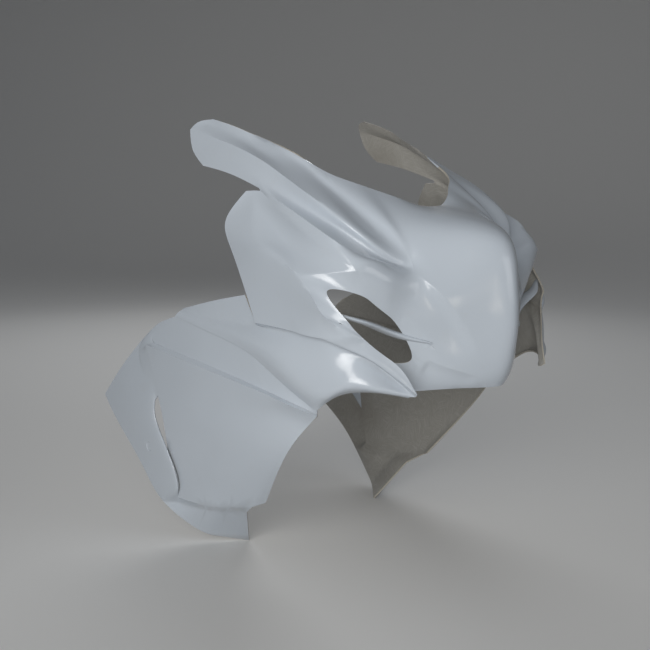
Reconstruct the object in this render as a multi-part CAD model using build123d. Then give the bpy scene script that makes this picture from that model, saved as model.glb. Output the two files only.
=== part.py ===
from build123d import *
import os

import numpy as np

# Overall reach of the styling lines, each set by itself; the laminate and fits don't follow them
LENGTH = 705.0
WIDTH = 510.0
HEIGHT = 678.0
# Hand-laid laminate and the bonded lap behind the seam of each lower panel
LAMINATE = 2.5
BOND_GAP = 0.4
LAP_WIDTH = 14.0
LAP_SHARE = 0.5
# Round seat moulded in the rear strip of each lower panel for its fastener
SEAT_DIAMETER = 13.0
SEAT_RIM = 16.0
SEAT_DEPTH = 1.2
# Vane across each scoop mouth: middle chord and thickness
VANE_CHORD = 30.0
VANE_THICKNESS = 10.0

# The styling lines below are drawn on a model of this length, width and height
STYLE_SIZE = (705.0, 510.0, 678.0)
STYLE_SCALE = np.array([LENGTH, WIDTH, HEIGHT]) / np.array(STYLE_SIZE)
LAP_SINK = LAMINATE + BOND_GAP


def styled(x, half_width, z):
    return np.array([x, -half_width, z], float) * STYLE_SCALE


# A smooth skin through styling points: quads between lines, some lines left as sharp creases
class Skin:
    def __init__(self):
        self.points = []
        self.quads = []
        self.sharp = set()
        self.corners = set()

    def line(self, *points):
        first = len(self.points)
        self.points += [np.array(point, float) for point in points]
        return list(range(first, len(self.points)))

    def strip(self, first, second):
        for a, b, c, d in zip(first, first[1:], second[1:], second):
            self.quads.append((a, b, c, d))

    def quad(self, *corners):
        self.quads.append(corners)

    def crease(self, line):
        self.sharp |= {frozenset(pair) for pair in zip(line, line[1:])}

    # Adds the left half, sharing the points of the centre line
    def mirror(self, centre):
        twin = {}
        for index in range(len(self.points)):
            twin[index] = index
            if index not in centre:
                twin[index] = len(self.points)
                self.points.append(self.points[index] * np.array([1.0, -1.0, 1.0]))
        self.quads += [tuple(twin[v] for v in quad) for quad in self.quads]
        self.sharp |= {frozenset(twin[v] for v in edge) for edge in self.sharp}
        self.corners |= {twin[v] for v in self.corners}

    # Faces round each edge and point, and which edges are free or creased
    def topology(self):
        self.edge_faces = {}
        self.point_faces = [[] for _ in self.points]
        for face, quad in enumerate(self.quads):
            for k, v in enumerate(quad):
                edge = frozenset((v, quad[(k + 1) % 4]))
                self.edge_faces.setdefault(edge, []).append(face)
                self.point_faces[v].append(face)
        free = {edge for edge, faces in self.edge_faces.items() if len(faces) == 1}
        self.free = free
        self.creased = free | self.sharp
        self.near = [[] for _ in self.points]
        self.along = [[] for _ in self.points]
        for edge in self.edge_faces:
            a, b = tuple(edge)
            self.near[a].append(b)
            self.near[b].append(a)
            if edge in self.creased:
                self.along[a].append(b)
                self.along[b].append(a)

    def is_corner(self, v):
        return v in self.corners or len(self.along[v]) > 2

    def is_smooth(self, v):
        return not self.is_corner(v) and len(self.along[v]) < 2

    # Number of faces round a point up to the creases on either side of a face
    def sector(self, v, face):
        seen = {face}
        todo = [face]
        while todo:
            quad = self.quads[todo.pop()]
            k = quad.index(v)
            for w in (quad[(k + 1) % 4], quad[k - 1]):
                edge = frozenset((v, w))
                fresh = set() if edge in self.creased else set(self.edge_faces[edge]) - seen
                seen |= fresh
                todo += fresh
        return len(seen)

    # Control points whose smooth surface meets every styling point
    def controls(self, points):
        rows = np.zeros((len(points), len(points)))
        for v in range(len(points)):
            if self.is_corner(v):
                rows[v, v] = 1.0
            elif self.is_smooth(v):
                n = len(self.point_faces[v])
                share = 1.0 / (n * (n + 5.0))
                rows[v, v] = n * n * share
                for w in self.near[v]:
                    rows[v, w] += 4.0 * share
                for face in self.point_faces[v]:
                    quad = self.quads[face]
                    rows[v, quad[(quad.index(v) + 2) % 4]] += share
            else:
                rows[v, v] = 4.0 / 6.0
                for w in self.along[v]:
                    rows[v, w] += 1.0 / 6.0
        return np.linalg.solve(rows, np.array(points))

    # One bicubic net of sixteen control points for each quad
    def nets(self, points):
        cage = self.controls(points)
        inner = {}
        for face, quad in enumerate(self.quads):
            for k, v in enumerate(quad):
                n = 4
                if self.is_smooth(v):
                    n = len(self.point_faces[v])
                elif not self.is_corner(v):
                    n = 2 * self.sector(v, face)
                sides = 2 * cage[quad[(k + 1) % 4]] + 2 * cage[quad[k - 1]]
                inner[face, v] = (n * cage[v] + sides + cage[quad[k - 2]]) / (n + 5.0)

        def beside(v, w):
            edge = frozenset((v, w))
            if edge in self.creased and not self.is_smooth(v):
                return (2 * cage[v] + cage[w]) / 3.0
            return np.mean([inner[face, v] for face in self.edge_faces[edge]], axis=0)

        nets = []
        for face, (a, b, c, d) in enumerate(self.quads):
            nets.append([
                [points[a], beside(a, b), beside(b, a), points[b]],
                [beside(a, d), inner[face, a], inner[face, b], beside(b, c)],
                [beside(d, a), inner[face, d], inner[face, c], beside(c, b)],
                [points[d], beside(d, c), beside(c, d), points[c]],
            ])
        return nets

    # Turns the quads so that neighbours run the same way and face outward
    def turn(self):
        seen = {0}
        todo = [0]
        while todo:
            quad = self.quads[todo.pop()]
            for k, v in enumerate(quad):
                w = quad[(k + 1) % 4]
                for face in self.edge_faces[frozenset((v, w))]:
                    if face in seen:
                        continue
                    other = self.quads[face]
                    if other[(other.index(v) + 1) % 4] == w:
                        self.quads[face] = other[::-1]
                    seen.add(face)
                    todo.append(face)

    # Inward step at each point that leaves one laminate between the two skins
    def steps(self, nets):
        normals = [[] for _ in self.points]
        for quad, net in zip(self.quads, np.array(nets)):
            # The four corners of a net come round in turn as it is given quarter turns
            for k, v in enumerate(quad):
                corner = np.rot90(net, k)
                along, across, inner = (corner[0, 1], corner[1, 0], corner[1, 1]) - corner[0, 0]
                normal = np.cross(along - across, inner)
                normals[v].append(normal / np.linalg.norm(normal))
        steps = []
        for group in normals:
            mean = np.mean(group, axis=0)
            mean = mean / np.linalg.norm(mean)
            lean = max(0.65, float(np.mean([normal @ mean for normal in group])))
            steps.append(mean / lean)
        return np.array(steps)

    # Outer skin, inner skin one laminate inside it, and the walls along the free edges
    def solid(self):
        self.topology()
        self.turn()
        outer_points = np.array(self.points)
        outer = self.nets(outer_points)
        steps = self.steps(outer)
        if steps[self.quads[0][0]] @ self.outward < 0:
            steps = -steps
        inner = self.nets(outer_points - LAMINATE * steps)
        faces = [patch(net) for net in outer + inner]
        for face, quad in enumerate(self.quads):
            for k, v in enumerate(quad):
                if frozenset((v, quad[(k + 1) % 4])) in self.free:
                    faces.append(patch([side(outer[face], k), side(inner[face], k)]))
        self.steps_out = steps
        self.outer = dict(zip(map(frozenset, self.quads), outer))
        return Solid(Shell(faces))

    # Middle point and outward normal of the outer skin between four styling points
    def middle(self, *corners):
        net = np.array(self.outer[frozenset(corners)])
        place = np.array([1.0, 3.0, 3.0, 1.0]) / 8.0
        slope = np.array([-1.0, -1.0, 1.0, 1.0])
        point = np.einsum("i,j,ijk", place, place, net)
        normal = np.cross(np.einsum("i,j,ijk", slope, place, net), np.einsum("i,j,ijk", place, slope, net))
        normal = normal / np.linalg.norm(normal)
        return point, normal * np.sign(normal @ self.outward)


def side(net, k):
    if k == 0:
        return net[0]
    if k == 1:
        return [row[3] for row in net]
    if k == 2:
        return net[3]
    return [row[0] for row in net]


def patch(net):
    return Face.make_bezier_surface([[Vector(*point) for point in row] for row in net])


# Nose, windscreen arms, air scoops, side flaps and bulges: one moulding
def upper_skin():
    skin = Skin()
    skin.outward = np.array([0.0, 0.0, 1.0])
    line = lambda *points: skin.line(*[styled(*point) for point in points])
    # Edge of the windscreen cut-out, from the centre to the end of the arm
    cutout = line((232, 0, 207), (225, 26, 209), (210, 56, 220), (189, 84, 232), (170, 110, 243),
                  (129, 141, 261), (84, 163, 283), (42, 174, 300), (0, 179, 316), (-35, 183, 327),
                  (-73, 185, 336))
    crown = line((301, 0, 194), (294, 34, 193), (271, 72, 191), (247, 102, 191), (242, 120, 190),
                 (189, 139, 216), (130, 157, 249), (71, 173, 275), (17, 180, 297), (-37, 185, 316),
                 (-95, 189, 332))
    # Ridge that runs from the arm down to the cheek, and the foot of the wall under it
    ridge = line((362, 0, 165), (350, 30, 163), (321, 64, 157), (290, 97, 151), (281, 111, 137),
                 (259, 143, 158), (214, 183, 199), (124, 193, 246), (53, 192, 278), (-20, 192, 301),
                 (-104, 194, 320))
    shoulder = line((256, 157, 147), (203, 185, 186), (113, 196, 226), (47, 197, 258), (-19, 197, 277),
                    (-93, 198, 289))
    # Outer edge of the terrace above the scoop, run on as the lower edge of the arm
    terrace = line((278, 133, 130), (278, 176, 141), (261, 200, 152), (218, 218, 178), (136, 212, 211),
                   (65, 202, 235), (-2, 200, 254), (-66, 200, 265))
    # Lower edge of the ledge below the terrace, which is the lip of the scoop at its front
    lip = line((298, 130, 105), (291, 160, 116), (282, 190, 124), (271, 214, 131), (199, 222, 171),
               (125, 213, 205), (67, 201, 231))
    scoop_corner, = line((198, 250, 121))
    temple = line((55, 204, 231), (88, 211, 199), (150, 223, 160))
    flap_rear = line((42, 207, 230), (18, 218, 200), (14, 225, 175), (30, 229, 149), (54, 235, 119),
                     (80, 240, 79), (100, 243, 44))
    flap_field = line((48, 214, 204), (72, 225, 181), (103, 236, 160), (132, 244, 139), (155, 246, 93),
                      (195, 248, 41))
    flap_ridge = line((234, 255, 91), (256, 250, 67), (272, 234, 44))
    flap_low = line((245, 243, 36), (272, 224, 23), (296, 198, 5))
    flap_tip, = line((332, 154, -40))
    # The two sides of the scoop mouth
    mouth_rear = line((242, 238, 103), (269, 233, 70), (277, 224, 55), (285, 209, 38), (300, 189, 17),
                      (316, 168, -5))
    mouth_front = line((265, 204, 98), (275, 184, 85), (282, 163, 68), (287, 142, 47))
    brow = line((380, 0, 105), (366, 28, 105), (345, 60, 102), (323, 92, 99))
    cheek = line((383, 0, 45), (368, 28, 45), (346, 60, 44), (324, 92, 43))
    sill = line((373, 0, -15), (360, 28, -19), (339, 60, -23), (319, 90, -15), (292, 119, 3),
                (270, 134, -7))
    hem = line((358, 0, -47), (346, 28, -47), (326, 58, -47), (308, 86, -47), (295, 110, -47),
               (275, 126, -48))
    # Shelf behind the flap, the fold under it, the crest of the bulge and its lower edge
    shelf = line((-99, 219, 41), (-14, 223, 63), (60, 227, 79))
    fold = line((-98, 222, 39), (-8, 229, 35), (89, 231, 38), (186, 237, 34), (237, 233, 29),
                (265, 215, 17), (290, 190, -1), (326, 151, -44))
    crest = line((-105, 225, 34), (2, 235, 25), (94, 244, 16), (165, 247, -4), (223, 237, -34),
                 (267, 227, -21), (301, 201, -26), (322, 155, -44))
    # Seam with the lower panel, then the free edge of the wheel arch
    seam = line((-111, 226, 28), (0, 236, 13), (82, 241, -3), (153, 238, -39), (206, 224, -72),
                (249, 218, -43), (290, 195, -37), (318, 156, -46))
    skin.strip(cutout, crown)
    skin.strip(crown, ridge)
    skin.strip(ridge[5:], shoulder)
    skin.strip(shoulder, terrace[2:])
    skin.quad(ridge[4], ridge[5], shoulder[0], terrace[0])
    skin.quad(shoulder[0], terrace[2], terrace[1], terrace[0])
    skin.strip(terrace[:6], lip[1:])
    skin.quad(ridge[4], terrace[0], lip[1], lip[0])
    skin.strip(lip[:2:-1], temple + [scoop_corner])
    skin.quad(flap_rear[0], temple[0], flap_field[0], flap_rear[1])
    skin.strip(temple + [scoop_corner] + flap_ridge[:2], flap_field)
    skin.strip(flap_rear[1:], flap_field)
    skin.quad(flap_field[5], flap_ridge[1], flap_ridge[2], flap_low[0])
    skin.quad(flap_low[0], flap_ridge[2], mouth_rear[3], flap_low[1])
    skin.strip(flap_low[1:] + [flap_tip], mouth_rear[3:])
    skin.strip([scoop_corner] + flap_ridge, mouth_rear[:4])
    skin.strip([scoop_corner] + lip[3::-1], [mouth_rear[0]] + mouth_front)
    skin.strip(ridge[:4], brow)
    skin.strip(brow, cheek)
    skin.strip(cheek, sill[:4])
    skin.quad(ridge[3], ridge[4], lip[0], brow[3])
    skin.quad(brow[3], lip[0], mouth_front[3], cheek[3])
    skin.quad(cheek[3], mouth_front[3], sill[4], sill[3])
    skin.strip(sill, hem)
    flap_edge = [flap_rear[6], flap_field[5]] + flap_low + [flap_tip]
    skin.strip(flap_edge, fold[2:])
    skin.strip(fold, crest)
    skin.strip(crest, seam)
    skin.strip(shelf, fold[:3])
    skin.crease(lip[2:])
    skin.crease([lip[3], scoop_corner] + flap_ridge)
    skin.crease([scoop_corner, flap_field[3]])
    skin.crease(fold[:3])
    skin.crease(ridge[6:])
    skin.crease(terrace[2:6])
    skin.crease(flap_edge[:3])
    skin.corners = {cutout[10], ridge[10], terrace[7], terrace[5], flap_rear[0], flap_rear[6], flap_tip,
                    sill[5], hem[5], lip[6], scoop_corner, shelf[0], shelf[2], seam[0], seam[4], seam[7]}
    skin.mirror({cutout[0], crown[0], ridge[0], brow[0], cheek[0], sill[0], hem[0]})
    skin.seam = seam[:5]
    skin.above = crest[:5]
    return skin


# Vane from the rear wall of the scoop mouth to the cheek, where it runs out as a low fin
def vane(shell):
    rearward = np.array([-0.89, 0.45, -0.1])
    spanwise = np.array([0.26, 0.91, -0.31])
    # Front edge points, each with its share of the middle chord and thickness
    stations = (((257, 255, 79), 0.33, 0.5), ((264, 229, 70), 0.36, 0.5), ((279, 198, 59), 0.75, 0.75),
                ((284, 158, 43), 1.0, 1.0), ((297, 131, 32), 0.8, 0.9), ((307, 118, 28), 0.5, 0.6),
                ((316, 106, 24), 0.2, 0.3))
    sections = []
    for front, chord, thickness in stations:
        middle = styled(*front) + chord * VANE_CHORD / 2 * rearward
        plane = Plane(Vector(*middle), x_dir=Vector(*rearward), z_dir=Vector(*spanwise))
        sections.append(plane * Ellipse(chord * VANE_CHORD / 2, thickness * VANE_THICKNESS / 2))
    # Ends on the inner skin of the wall it is bonded to
    return (loft(sections) - shell).solids().sort_by(SortBy.VOLUME)[-1]


# Points of a lap that lies behind the edge of another moulding, reaching up towards the points above
def lap(skin, edge, above, reach):
    rows = []
    for v, w in zip(edge, above):
        up = skin.points[w] - skin.points[v]
        length = np.linalg.norm(up)
        share = min(reach, LAP_SHARE * length) / length
        inward = (1 - share) * skin.steps_out[v] + share * skin.steps_out[w]
        rows.append(skin.points[v] + share * up - LAP_SINK * inward)
    return rows


# Lower side panel with its belly flange, rear strip and slit
def lower_skin(upper):
    skin = Skin()
    skin.outward = np.array([0.0, -1.0, 0.0])
    line = lambda *points: skin.line(*[styled(*point) for point in points])
    tucked = skin.line(*lap(upper, upper.seam, upper.above, LAP_WIDTH))
    seam = skin.line(*lap(upper, upper.seam, upper.above, 0.0))
    # Groove and raised edge along the top of the face
    groove = line((-177, 225, -22), (-20, 237, -36), (111, 239, -53), (165, 233, -65), (202, 218, -78))
    ridge = line((-183, 231, -27), (-17, 244, -41), (116, 246, -56), (170, 239, -68), (206, 222, -80))
    bend = line((-154, 232, -108), (-36, 239, -97), (72, 240, -91), (147, 233, -89), (183, 219, -100))
    face = line((-140, 233, -146), (-40, 238, -137), (58, 238, -131), (130, 231, -124), (161, 222, -125))
    waist = line((-128, 232, -204), (-41, 233, -193), (39, 231, -183), (95, 224, -177), (126, 218, -169))
    foot = line((-113, 227, -272), (-48, 223, -271), (4, 215, -263), (45, 205, -256), (65, 194, -247))
    joggle = line((-119, 219, -285), (-57, 214, -283), (-18, 205, -279), (18, 192, -274))
    flange = line((-147, 232, -285), (-88, 207, -325), (-58, 185, -335), (-24, 152, -342))
    # Rear strip, proud of the face; the slit lies between its turned-in front edge and the face
    rear = line((-150, 221, 15), (-189, 221, -8), (-260, 223, -70), (-322, 222, -134), (-278, 227, -174),
                (-201, 234, -233))
    strip = line((-213, 225, -44), (-185, 231, -97), (-176, 235, -139), (-151, 238, -174), (-119, 239, -213),
                 (-106, 234, -255))
    turned = line((-175, 225, -135), (-159, 226, -171))
    skin.strip(tucked, seam)
    skin.strip(seam, groove)
    skin.strip(groove, ridge)
    skin.strip(ridge, bend)
    skin.strip(bend, face)
    skin.strip(face, waist)
    skin.strip(waist, foot)
    skin.strip(foot[:4], joggle)
    skin.strip(joggle, flange)
    skin.quad(rear[0], seam[0], groove[0], rear[1])
    skin.quad(rear[1], groove[0], ridge[0], strip[0])
    skin.strip([ridge[0], bend[0]] + turned + [waist[0], foot[0]], strip)
    skin.strip(rear[1:] + [flange[0]], strip)
    skin.quad(strip[5], foot[0], joggle[0], flange[0])
    skin.crease(seam)
    skin.crease(groove)
    skin.crease([seam[2], groove[2]])
    skin.crease(ridge)
    skin.crease([ridge[0], bend[0]])
    skin.crease([waist[0]] + foot[:4])
    skin.crease(joggle)
    skin.corners = {tucked[0], tucked[4], seam[0], seam[4], foot[4], flange[3], joggle[3], ridge[0],
                    groove[0], foot[0], foot[3], bend[0], waist[0], rear[3]}
    skin.seat = (rear[4], rear[5], strip[4], strip[3])
    return skin


# Flat round seat sunk in the rear strip, square to the skin there, its wall opening out to the rim
def fastener_seat(skin):
    point, normal = skin.middle(*skin.seat)
    bottom = Plane(Vector(*(point - SEAT_DEPTH * normal)), z_dir=Vector(*normal))
    reach = 3.0
    mouth = SEAT_DIAMETER + reach * (SEAT_RIM - SEAT_DIAMETER)
    upright = (Align.CENTER, Align.CENTER, Align.MIN)
    return bottom * Cone(SEAT_DIAMETER / 2, mouth / 2, reach * SEAT_DEPTH, align=upright)


upper_form = upper_skin()
shell = upper_form.solid()
blade = vane(shell)
upper = shell.fuse(blade, mirror(blade, Plane.XZ))
lower_form = lower_skin(upper_form)
lower_right = lower_form.solid() - fastener_seat(lower_form)
lower_left = mirror(lower_right, Plane.XZ)

# The frame stands at the middle of the whole fairing
middle = Compound([upper, lower_right, lower_left]).bounding_box().center()
os.makedirs("parts", exist_ok=True)
export_step(Pos(-middle) * upper, "parts/upper_fairing.step")
export_step(Pos(-middle) * lower_right, "parts/lower_panel_right.step")
export_step(Pos(-middle) * lower_left, "parts/lower_panel_left.step")
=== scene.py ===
import math

import bpy
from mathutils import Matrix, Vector
from mathutils.bvhtree import BVHTree
from mathutils.geometry import interpolate_bezier
from mathutils.kdtree import KDTree


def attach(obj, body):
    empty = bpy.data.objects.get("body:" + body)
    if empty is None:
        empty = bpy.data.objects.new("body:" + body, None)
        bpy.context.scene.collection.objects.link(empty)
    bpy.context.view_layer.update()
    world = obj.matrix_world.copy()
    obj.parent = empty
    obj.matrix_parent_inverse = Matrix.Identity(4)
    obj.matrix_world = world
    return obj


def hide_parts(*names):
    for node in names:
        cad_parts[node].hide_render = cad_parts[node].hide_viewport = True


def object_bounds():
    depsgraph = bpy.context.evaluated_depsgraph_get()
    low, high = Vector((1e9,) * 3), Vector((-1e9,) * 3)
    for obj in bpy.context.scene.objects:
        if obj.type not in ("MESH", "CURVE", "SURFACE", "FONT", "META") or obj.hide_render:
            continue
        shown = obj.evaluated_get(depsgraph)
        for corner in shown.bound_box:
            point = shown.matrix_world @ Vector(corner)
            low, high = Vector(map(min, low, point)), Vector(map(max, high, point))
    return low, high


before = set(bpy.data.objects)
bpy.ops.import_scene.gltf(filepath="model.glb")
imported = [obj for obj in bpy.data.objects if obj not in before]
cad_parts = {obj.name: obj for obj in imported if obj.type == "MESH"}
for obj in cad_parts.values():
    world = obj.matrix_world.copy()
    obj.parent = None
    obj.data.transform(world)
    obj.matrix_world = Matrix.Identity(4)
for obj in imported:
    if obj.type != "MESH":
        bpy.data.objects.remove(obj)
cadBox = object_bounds()
bpy.context.scene.view_settings.view_transform = "Standard"


def activate(piece):
    bpy.ops.object.select_all(action="DESELECT")
    piece.select_set(True)
    bpy.context.view_layer.objects.active = piece


def lookAlong(thing, spot, aim):
    thing.location = spot
    thing.rotation_euler = (Vector(aim) - Vector(spot)).to_track_quat("-Z", "Y").to_euler()


# the photo's view: bearing and height of the camera in degrees, and what its lens takes in
viewCamera = {
    "bearing": 45.0,
    "height": 9.5,
    "distance": 1.85,
    "aim": (-0.0307, 0.0, 0.003),
    "sensor": 36.0,
    "lens": 61.5,
}


def addCamera(view):
    bearing = math.radians(view["bearing"])
    height = math.radians(view["height"])
    flat = math.cos(height)
    back = Vector((math.sin(bearing) * flat, -math.cos(bearing) * flat, math.sin(height)))
    lens = bpy.data.cameras.new("photoCamera")
    lens.sensor_width = view["sensor"]
    lens.lens = view["lens"]
    camera = bpy.data.objects.new("photoCamera", lens)
    bpy.context.scene.collection.objects.link(camera)
    lookAlong(camera, Vector(view["aim"]) + view["distance"] * back, view["aim"])
    bpy.context.scene.camera = camera


addCamera(viewCamera)
print("camera in place")


# materials: every pattern runs on object coordinates, in metres
def startMaterial(name):
    material = bpy.data.materials.new(name)
    material.use_nodes = True
    return material, material.node_tree, material.node_tree.nodes["Principled BSDF"]


def addPlace(tree):
    return tree.nodes.new("ShaderNodeTexCoord").outputs["Object"]


def addNoise(tree, place, values):
    noise = tree.nodes.new("ShaderNodeTexNoise")
    tree.links.new(place, noise.inputs["Vector"])
    for socket, value in values.items():
        noise.inputs[socket].default_value = value
    return noise.outputs["Fac"]


def addRange(tree, source, low, high, start=0.0, end=1.0):
    span = tree.nodes.new("ShaderNodeMapRange")
    span.inputs["From Min"].default_value = low
    span.inputs["From Max"].default_value = high
    span.inputs["To Min"].default_value = start
    span.inputs["To Max"].default_value = end
    tree.links.new(source, span.inputs["Value"])
    return span.outputs["Result"]


def addLargest(tree, first, second):
    largest = tree.nodes.new("ShaderNodeMath")
    largest.operation = "MAXIMUM"
    tree.links.new(first, largest.inputs[0])
    tree.links.new(second, largest.inputs[1])
    return largest.outputs[0]


# a colour is either plain or another node's output
def addTint(tree, factor, first, second):
    mix = tree.nodes.new("ShaderNodeMix")
    mix.data_type = "RGBA"
    tree.links.new(factor, mix.inputs["Factor"])
    for socket, colour in (("A", first), ("B", second)):
        entry = [s for s in mix.inputs if s.name == socket and s.type == "RGBA"][0]
        if isinstance(colour, tuple):
            entry.default_value = colour
        else:
            tree.links.new(colour, entry)
    return [s for s in mix.outputs if s.type == "RGBA"][0]


def addBump(tree, height, relief, below=None):
    bump = tree.nodes.new("ShaderNodeBump")
    bump.inputs["Strength"].default_value, bump.inputs["Distance"].default_value = relief
    tree.links.new(height, bump.inputs["Height"])
    if below:
        tree.links.new(below, bump.inputs["Normal"])
    return bump.outputs["Normal"]


# white gel coat: cool, glossy, a little hazy and uneven as it comes out of the mould
# a band is two values of a pattern and what they become, 0 and 1 where nothing is said
gelCoat = {
    "pale": (0.535, 0.590, 0.655, 1.0),
    "shade": (0.508, 0.562, 0.625, 1.0),
    "clouds": {"Scale": 3.2, "Detail": 3.0, "Roughness": 0.55},
    "cloudBand": (0.35, 0.65),
    "dust": (0.470, 0.480, 0.490, 1.0),
    "specks": {"Scale": 38.0, "Detail": 8.0, "Roughness": 0.7},
    "dustBand": (0.58, 0.85, 0.0, 0.25),
    "roughnessBand": (0.35, 0.75, 0.16, 0.26),
    # painted shade: a darker warm grey laid into grooves, seams and tight corners by ambient occlusion
    "paintedShade": (0.300, 0.295, 0.280, 1.0),
    "paintedShadeReach": 0.018,
    "paintedShadeRays": 8,
    "paintedShadeBand": (0.75, 0.25, 0.0, 0.40),
    "waves": {"Scale": 14.0, "Detail": 1.0},
    "waveRelief": (0.35, 0.0005),  # strength and depth
    "peel": {"Scale": 420.0, "Detail": 2.0},
    "peelRelief": (0.2, 0.00003),
    "gloss": 0.45,
    "glossRoughness": 0.09,
}


def makeGelCoat(coat):
    material, tree, shader = startMaterial("whiteGelCoat")
    place = addPlace(tree)
    clouds = addNoise(tree, place, coat["clouds"])
    tone = addTint(tree, addRange(tree, clouds, *coat["cloudBand"]), coat["pale"], coat["shade"])
    specks = addNoise(tree, place, coat["specks"])
    dusty = addTint(tree, addRange(tree, specks, *coat["dustBand"]), tone, coat["dust"])
    # painted shade: the coat turns a darker grey in grooves, seams and tight corners, wherever ambient
    # occlusion finds them
    hollow = tree.nodes.new("ShaderNodeAmbientOcclusion")
    hollow.inputs["Distance"].default_value = coat["paintedShadeReach"]
    hollow.samples = coat["paintedShadeRays"]
    paintedShadeMask = addRange(tree, hollow.outputs["AO"], *coat["paintedShadeBand"])
    tree.links.new(addTint(tree, paintedShadeMask, dusty, coat["paintedShade"]), shader.inputs["Base Color"])
    haze = addRange(tree, specks, *coat["roughnessBand"])
    tree.links.new(haze, shader.inputs["Roughness"])
    soft = addBump(tree, addNoise(tree, place, coat["waves"]), coat["waveRelief"])
    peeled = addBump(tree, addNoise(tree, place, coat["peel"]), coat["peelRelief"], soft)
    tree.links.new(peeled, shader.inputs["Normal"])
    shader.inputs["Coat Weight"].default_value = coat["gloss"]
    shader.inputs["Coat Roughness"].default_value = coat["glossRoughness"]
    return material


# back of the moulding: chopped strand mat in cured resin, never painted
rawLaminate = {
    "resin": (0.375, 0.364, 0.334, 1.0),
    "strand": (0.460, 0.452, 0.425, 1.0),
    "patchScales": (34.0, 47.0),
    "patchAxis": (0.25, 0.9, 0.35),
    "strandSize": (900.0, 40.0, 40.0),
    "strands": {"Scale": 1.0, "Detail": 1.0},
    "strandBand": (0.48, 0.72),
    "stain": (0.260, 0.238, 0.200, 1.0),
    "pools": {"Scale": 7.0, "Detail": 4.0},
    "stainBand": (0.50, 0.75, 0.0, 0.6),
    "relief": (0.5, 0.0004),
    "roughness": 0.5,
}


# one layer of the mat: strands that lie another way in every patch
def addStrands(tree, place, laminate, patchScale):
    patch = tree.nodes.new("ShaderNodeTexVoronoi")
    patch.inputs["Scale"].default_value = patchScale
    split = tree.nodes.new("ShaderNodeSeparateColor")
    turn = tree.nodes.new("ShaderNodeVectorRotate")
    turn.inputs["Axis"].default_value = laminate["patchAxis"]
    mapping = tree.nodes.new("ShaderNodeMapping")
    mapping.inputs["Scale"].default_value = laminate["strandSize"]
    tree.links.new(place, patch.inputs["Vector"])
    tree.links.new(patch.outputs["Color"], split.inputs["Color"])
    angle = addRange(tree, split.outputs["Red"], 0.0, 1.0, 0.0, math.tau)
    tree.links.new(angle, turn.inputs["Angle"])
    tree.links.new(place, turn.inputs["Vector"])
    tree.links.new(turn.outputs["Vector"], mapping.inputs["Vector"])
    return addNoise(tree, mapping.outputs["Vector"], laminate["strands"])


def makeRawLaminate(laminate):
    material, tree, shader = startMaterial("rawLaminate")
    place = addPlace(tree)
    layers = [addStrands(tree, place, laminate, scale) for scale in laminate["patchScales"]]
    mat = addLargest(tree, *layers)
    tone = addTint(tree, addRange(tree, mat, *laminate["strandBand"]), laminate["resin"], laminate["strand"])
    pools = addNoise(tree, place, laminate["pools"])
    stained = addTint(tree, addRange(tree, pools, *laminate["stainBand"]), tone, laminate["stain"])
    tree.links.new(stained, shader.inputs["Base Color"])
    tree.links.new(addBump(tree, mat, laminate["relief"]), shader.inputs["Normal"])
    shader.inputs["Roughness"].default_value = laminate["roughness"]
    return material


# trimmed edges, where the sawn glass and resin show
trimmedEdge = {
    "resin": (0.330, 0.300, 0.245, 1.0),
    "glass": (0.520, 0.500, 0.445, 1.0),
    "grain": {"Scale": 900.0, "Detail": 3.0},
    "grainBand": (0.35, 0.65),
    "relief": (0.5, 0.0002),
    "roughness": 0.7,
}


def makeTrimmedEdge(edge):
    material, tree, shader = startMaterial("trimmedEdge")
    grain = addNoise(tree, addPlace(tree), edge["grain"])
    tone = addTint(tree, addRange(tree, grain, *edge["grainBand"]), edge["resin"], edge["glass"])
    tree.links.new(tone, shader.inputs["Base Color"])
    tree.links.new(addBump(tree, grain, edge["relief"]), shader.inputs["Normal"])
    shader.inputs["Roughness"].default_value = edge["roughness"]
    return material


finishes = (makeGelCoat(gelCoat), makeRawLaminate(rawLaminate), makeTrimmedEdge(trimmedEdge))
showSide, rawBack, sawnEdge = range(len(finishes))
print("finishes made:", ", ".join(finish.name for finish in finishes))


# the three mouldings, and which way the outermost part of each show side faces
mouldings = {
    "upperFairing": {"node": "upper_fairing", "show": (1.0, 0.0, 0.0)},
    "rightLowerPanel": {"node": "lower_panel_right", "show": (0.0, -1.0, 0.0)},
    "leftLowerPanel": {"node": "lower_panel_left", "show": (0.0, 1.0, 0.0)},
}

# how a moulding's mesh is welded, told apart into skins and edge walls, and shaded
sheet = {
    "weld": 0.00001,
    "skim": 0.00002,
    "thickest": 0.0045,
    "turn": math.radians(50.0),
    "smooth": math.radians(35.0),
}


# faces that lie side by side on a skin, leaving out the walls along its edges
def neighbours(mesh, skins, turn):
    pairs = {}
    for index in skins:
        for key in mesh.polygons[index].edge_keys:
            pairs.setdefault(key, []).append(index)
    beside = {index: [] for index in skins}
    limit = math.cos(turn)
    for group in pairs.values():
        if len(group) == 2:
            a, b = group
            if mesh.polygons[a].normal.dot(mesh.polygons[b].normal) > limit:
                beside[a].append(b)
                beside[b].append(a)
    return beside


def spread(seed, beside):
    found = {seed}
    todo = [seed]
    while todo:
        for face in beside[todo.pop()]:
            if face not in found:
                found.add(face)
                todo.append(face)
    return found


def corners(mesh, faces):
    return {v for index in faces for v in mesh.polygons[index].vertices}


def cornersOf(mesh, finish):
    return corners(mesh, [face.index for face in mesh.polygons if face.material_index == finish])


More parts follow.
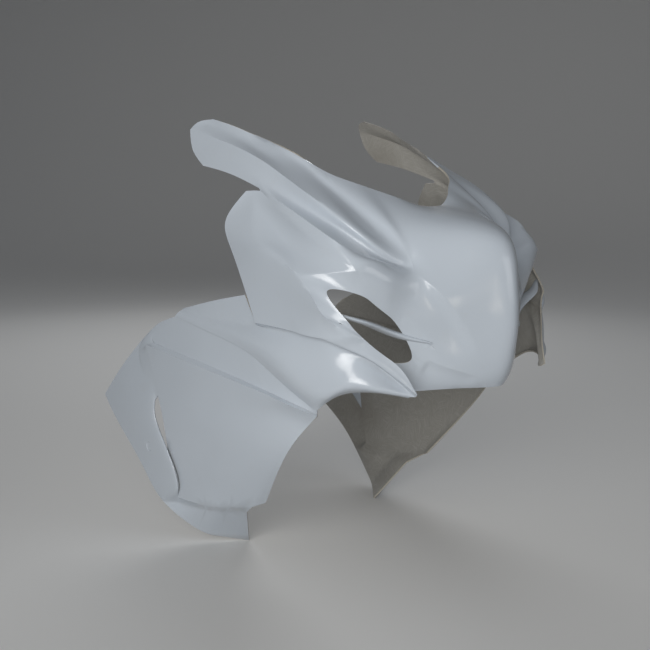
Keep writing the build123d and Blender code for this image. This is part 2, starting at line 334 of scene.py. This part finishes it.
def paintSides(mesh, moulding):
    faces = mesh.polygons
    solid = BVHTree.FromPolygons([v.co for v in mesh.vertices], [f.vertices[:] for f in faces])
    across = [solid.ray_cast(f.center - sheet["skim"] * f.normal, -f.normal) for f in faces]
    skins = [i for i, hit in enumerate(across) if hit[3] is not None and hit[3] < sheet["thickest"]]
    beside = neighbours(mesh, skins, sheet["turn"])
    front = max(skins, key=lambda i: faces[i].center.dot(Vector(moulding["show"])))
    shown = spread(front, beside)
    back = spread(across[front][2], beside)
    shownCorners = corners(mesh, shown)
    backCorners = corners(mesh, back)
    sawn = 0
    for face in faces:
        if face.index in back:
            face.material_index = rawBack
        elif face.index not in shown:
            ends = set(face.vertices)
            if ends <= shownCorners | backCorners and ends & shownCorners and ends & backCorners:
                face.material_index = sawnEdge
                sawn += 1
    print(moulding["node"], "faces", len(faces), "shown", len(shown), "back", len(back), "sawn", sawn)


# smooth curves through a few points, which the relief is measured from
curveSteps = 160


def threadCurve(points):
    run = [2 * points[0] - points[1]] + points + [2 * points[-1] - points[-2]]
    curve = []
    for a, b, c, d in zip(run, run[1:], run[2:], run[3:]):
        curve += interpolate_bezier(b, b + (c - a) / 6, c - (d - b) / 6, c, curveSteps)
    return curve


def nearestOn(points):
    curve = threadCurve([Vector(p) for p in points])
    tree = KDTree(len(curve))
    for index, point in enumerate(curve):
        tree.insert(point, index)
    tree.balance()
    return tree


def ramp(start, end, x):
    s = min(1.0, max(0.0, (x - start) / (end - start)))
    return s * s * (3 - 2 * s)


# both halves are worked on the left one's side, where y is positive
def onLeft(point):
    return Vector((point.x, abs(point.y), point.z))


# arms beside the screen: above their crease the skin leans in, and its rim curls over as a seat
# the fades are where a band starts, is whole, begins to end and is gone, going forward
screenSeat = {
    "edge": ((0.158, 0.084, 0.235), (0.139, 0.110, 0.246), (0.098, 0.141, 0.264), (0.053, 0.163, 0.286),
             (0.011, 0.174, 0.303), (-0.031, 0.179, 0.319), (-0.066, 0.183, 0.330), (-0.104, 0.185, 0.339)),
    "low": 0.200,
    "thickness": 0.0025,
    "bands": (
        {"foot": ((0.183, 0.183, 0.202), (0.093, 0.193, 0.249), (0.022, 0.192, 0.281),
                  (-0.051, 0.192, 0.304), (-0.135, 0.194, 0.323)),
         "lean": 0.013, "curl": 1, "fades": (-1.0, -0.9, 0.020, 0.120)},
        {"foot": ((0.158, 0.139, 0.219), (0.099, 0.157, 0.252), (0.040, 0.173, 0.278),
                  (-0.014, 0.180, 0.300), (-0.068, 0.185, 0.319), (-0.126, 0.189, 0.335)),
         "lean": 0.009, "curl": 2, "fades": (-0.030, -0.005, 0.075, 0.130)},
    ),
}


def leanArms(mesh, seat):
    edge = nearestOn(seat["edge"])
    feet = [nearestOn(band["foot"]) for band in seat["bands"]]
    inner = cornersOf(mesh, rawBack)
    moved = 0
    for vertex in mesh.vertices:
        place = onLeft(vertex.co)
        if place.z < seat["low"]:
            continue
        # both skins lean alike, so the sheet keeps its thickness
        under = seat["thickness"] if vertex.index in inner else 0.0
        shift = 0.0
        for band, foot in zip(seat["bands"], feet):
            start, whole, ending, gone = band["fades"]
            fade = ramp(start, whole, place.x) * ramp(gone, ending, place.x)
            near, _, rise = foot.find(place)
            if fade > 0 and place.z > near.z:
                drop = edge.find(place)[2]
                rise, drop = [math.sqrt(max(0.0, gap * gap - under * under)) for gap in (rise, drop)]
                if rise > 0:
                    shift += fade * band["lean"] * (rise / (rise + drop)) ** band["curl"]
        vertex.co.y -= math.copysign(shift, vertex.co.y)
        moved += shift > 0
    print("arm corners leaned in:", moved)


# folds in each cheek: the skin turns in behind the fold line, on the side of the pocket
cheekFolds = (
    {"line": ((0.260, 0.116, 0.127), (0.281, 0.104, 0.109), (0.301, 0.084, 0.081),
              (0.311, 0.067, 0.051), (0.319, 0.053, 0.028), (0.324, 0.042, 0.009)),
     "pocket": (0.279, 0.111, 0.045), "press": (-0.83, -0.56, 0.0),
     "drop": 0.0045, "near": 0.018, "far": 0.060, "fine": 0.026, "start": 0.2, "end": 0.55},
    {"line": ((0.276, 0.107, 0.004), (0.288, 0.092, -0.005), (0.308, 0.061, -0.018), (0.321, 0.035, -0.028)),
     "pocket": (0.290, 0.079, -0.033), "press": (-0.80, -0.59, 0.1),
     "drop": 0.003, "near": 0.014, "far": 0.040, "fine": 0.018, "start": 0.2, "end": 0.7},
)
fineCuts = 4


# finer faces along the fold lines, so that the folds come out crisp
def refineFolds(piece, folds):
    mesh = piece.data
    activate(piece)
    bpy.ops.object.mode_set(mode="EDIT")
    bpy.ops.mesh.select_mode(type="FACE")
    bpy.ops.mesh.select_all(action="DESELECT")
    bpy.ops.object.mode_set(mode="OBJECT")
    lines = [(nearestOn(fold["line"]), fold["fine"]) for fold in folds]
    rim = cornersOf(mesh, sawnEdge)
    for face in mesh.polygons:
        place = onLeft(face.center)
        inside = face.material_index == showSide and not rim.intersection(face.vertices)
        face.select = inside and any(line.find(place)[2] < fine for line, fine in lines)
    bpy.ops.object.mode_set(mode="EDIT")
    bpy.ops.mesh.subdivide(number_cuts=fineCuts, smoothness=1.0)
    bpy.ops.mesh.quads_convert_to_tris()
    bpy.ops.object.mode_set(mode="OBJECT")


def pressFold(mesh, fold):
    line = nearestOn(fold["line"])
    last = curveSteps * (len(fold["line"]) - 1)
    press = Vector(fold["press"]).normalized()
    pocket = Vector(fold["pocket"])
    moved = 0
    for vertex in mesh.vertices:
        place = onLeft(vertex.co)
        foot, index, gap = line.find(place)
        if gap > fold["far"]:
            continue
        away = place - foot
        away -= away.dot(press) * press
        if away.dot(pocket - foot) <= 0:
            continue
        along = index / last
        slack = max(0.0, 1 - away.length / fold["near"])
        deep = fold["drop"] * (1 - slack * slack) * ramp(fold["far"], fold["near"], away.length)
        deep *= ramp(0.0, fold["start"], along) * ramp(1.0, fold["end"], along)
        vertex.co += deep * Vector((press.x, math.copysign(1.0, vertex.co.y) * press.y, press.z))
        moved += 1
    print("cheek corners pressed in:", moved)


def dressMoulding(name, moulding):
    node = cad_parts[moulding["node"]]
    piece = bpy.data.objects.new(name, node.data.copy())
    bpy.context.scene.collection.objects.link(piece)
    activate(piece)
    bpy.ops.object.mode_set(mode="EDIT")
    bpy.ops.mesh.select_all(action="SELECT")
    bpy.ops.mesh.remove_doubles(threshold=sheet["weld"])
    bpy.ops.object.mode_set(mode="OBJECT")
    bpy.ops.mesh.customdata_custom_splitnormals_clear()
    piece.data.materials.clear()
    for finish in finishes:
        piece.data.materials.append(finish)
    paintSides(piece.data, moulding)
    if name == "upperFairing":
        leanArms(piece.data, screenSeat)
        refineFolds(piece, cheekFolds)
        for fold in cheekFolds:
            pressFold(piece.data, fold)
    activate(piece)
    bpy.ops.object.shade_smooth_by_angle(angle=sheet["smooth"])
    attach(piece, "root")
    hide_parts(moulding["node"])


for name, moulding in mouldings.items():
    dressMoulding(name, moulding)
print("mouldings dressed")


# light of the room: one softbox beside the camera, one in front, one behind and a low warm one
softboxes = {
    "keySoftbox": {"spot": (1.0, -1.65, 0.5), "aim": (0.12, 0.0, 0.12), "size": (1.7, 1.1), "power": 7.5,
                   "colour": (1.0, 0.985, 0.96), "spread": 80.0},
    "fillSoftbox": {"spot": (2.6, 0.4, 0.5), "aim": (0.0, 0.0, 0.0), "size": (1.2, 0.9), "power": 1.8,
                    "colour": (0.97, 0.98, 1.0), "spread": 120.0},
    "backSoftbox": {"spot": (-2.3, 1.7, 1.5), "aim": (0.0, 0.0, 0.0), "size": (2.0, 1.4), "power": 14.0,
                    "colour": (0.98, 0.99, 1.0), "spread": 120.0},
    "windowSoftbox": {"spot": (2.9, -0.85, -0.05), "aim": (0.0, 0.0, 0.0), "size": (0.2, 0.5), "power": 0.08,
                      "colour": (1.0, 0.90, 0.74), "spread": 60.0},
}


def addSoftbox(name, box):
    light = bpy.data.lights.new(name, "AREA")
    light.shape = "RECTANGLE"
    light.size, light.size_y = box["size"]
    light.energy = box["power"]
    light.color = box["colour"]
    light.spread = math.radians(box["spread"])
    lamp = bpy.data.objects.new(name, light)
    bpy.context.scene.collection.objects.link(lamp)
    lookAlong(lamp, box["spot"], box["aim"])
    lamp.visible_camera = False


# a round pale room whose wall runs into the floor in a cove, under a soft sky
studio = {
    "sky": (0.86, 0.89, 0.94, 1.0),
    "skyStrength": 0.20,
    "radius": 4.2,
    "sides": 128,
    "wall": 3.4,
    "cove": 1.6,
    "coveSteps": 16,
    "smooth": math.radians(30.0),
    "paint": (0.72, 0.72, 0.71, 1.0),
    "bounce": (0.45, 0.45, 0.45, 1.0),
    "roughness": 0.9,
    "lidFacing": 0.9,  # faces that look up this squarely are the lid, which comes off
    "rimReach": 0.01,  # edges this near the floor are its rim
}


def addSky(room):
    world = bpy.data.worlds.new("softRoom")
    bpy.context.scene.world = world
    world.use_nodes = True
    sky = world.node_tree.nodes["Background"]
    sky.inputs["Color"].default_value = room["sky"]
    sky.inputs["Strength"].default_value = room["skyStrength"]


# seen and mirrored pale, but throwing less light back at the part
def makePalePaint(room):
    material, tree, shader = startMaterial("palePaint")
    path = tree.nodes.new("ShaderNodeLightPath")
    seen = path.outputs["Is Camera Ray"]
    for ray in ("Is Glossy Ray", "Is Transmission Ray"):
        seen = addLargest(tree, seen, path.outputs[ray])
    tree.links.new(addTint(tree, seen, room["bounce"], room["paint"]), shader.inputs["Base Color"])
    shader.inputs["Roughness"].default_value = room["roughness"]
    return material


def addRoom(room):
    floorLevel = cadBox[0][2]
    bpy.ops.object.select_all(action="DESELECT")
    bpy.ops.mesh.primitive_cylinder_add(vertices=room["sides"], radius=room["radius"], depth=room["wall"],
                                        location=(0, 0, floorLevel + room["wall"] / 2))
    walls = bpy.context.object
    walls.name = "paleStudio"
    mesh = walls.data
    bpy.ops.object.transform_apply(location=True)
    bpy.ops.object.mode_set(mode="EDIT")
    bpy.ops.mesh.select_all(action="DESELECT")
    bpy.ops.object.mode_set(mode="OBJECT")
    for face in mesh.polygons:
        face.select = face.normal.z > room["lidFacing"]
    bpy.ops.object.mode_set(mode="EDIT")
    bpy.ops.mesh.delete(type="FACE")
    bpy.ops.mesh.select_all(action="DESELECT")
    bpy.ops.object.mode_set(mode="OBJECT")
    for edge in mesh.edges:
        edge.select = all(mesh.vertices[v].co.z < floorLevel + room["rimReach"] for v in edge.vertices)
    bpy.ops.object.mode_set(mode="EDIT")
    bpy.ops.mesh.bevel(offset=room["cove"], segments=room["coveSteps"], affect="EDGES")
    bpy.ops.mesh.select_all(action="SELECT")
    bpy.ops.mesh.flip_normals()
    bpy.ops.object.mode_set(mode="OBJECT")
    bpy.ops.object.shade_smooth_by_angle(angle=room["smooth"])
    mesh.materials.append(makePalePaint(room))


addSky(studio)
for name, box in softboxes.items():
    addSoftbox(name, box)
addRoom(studio)
print("studio lit")
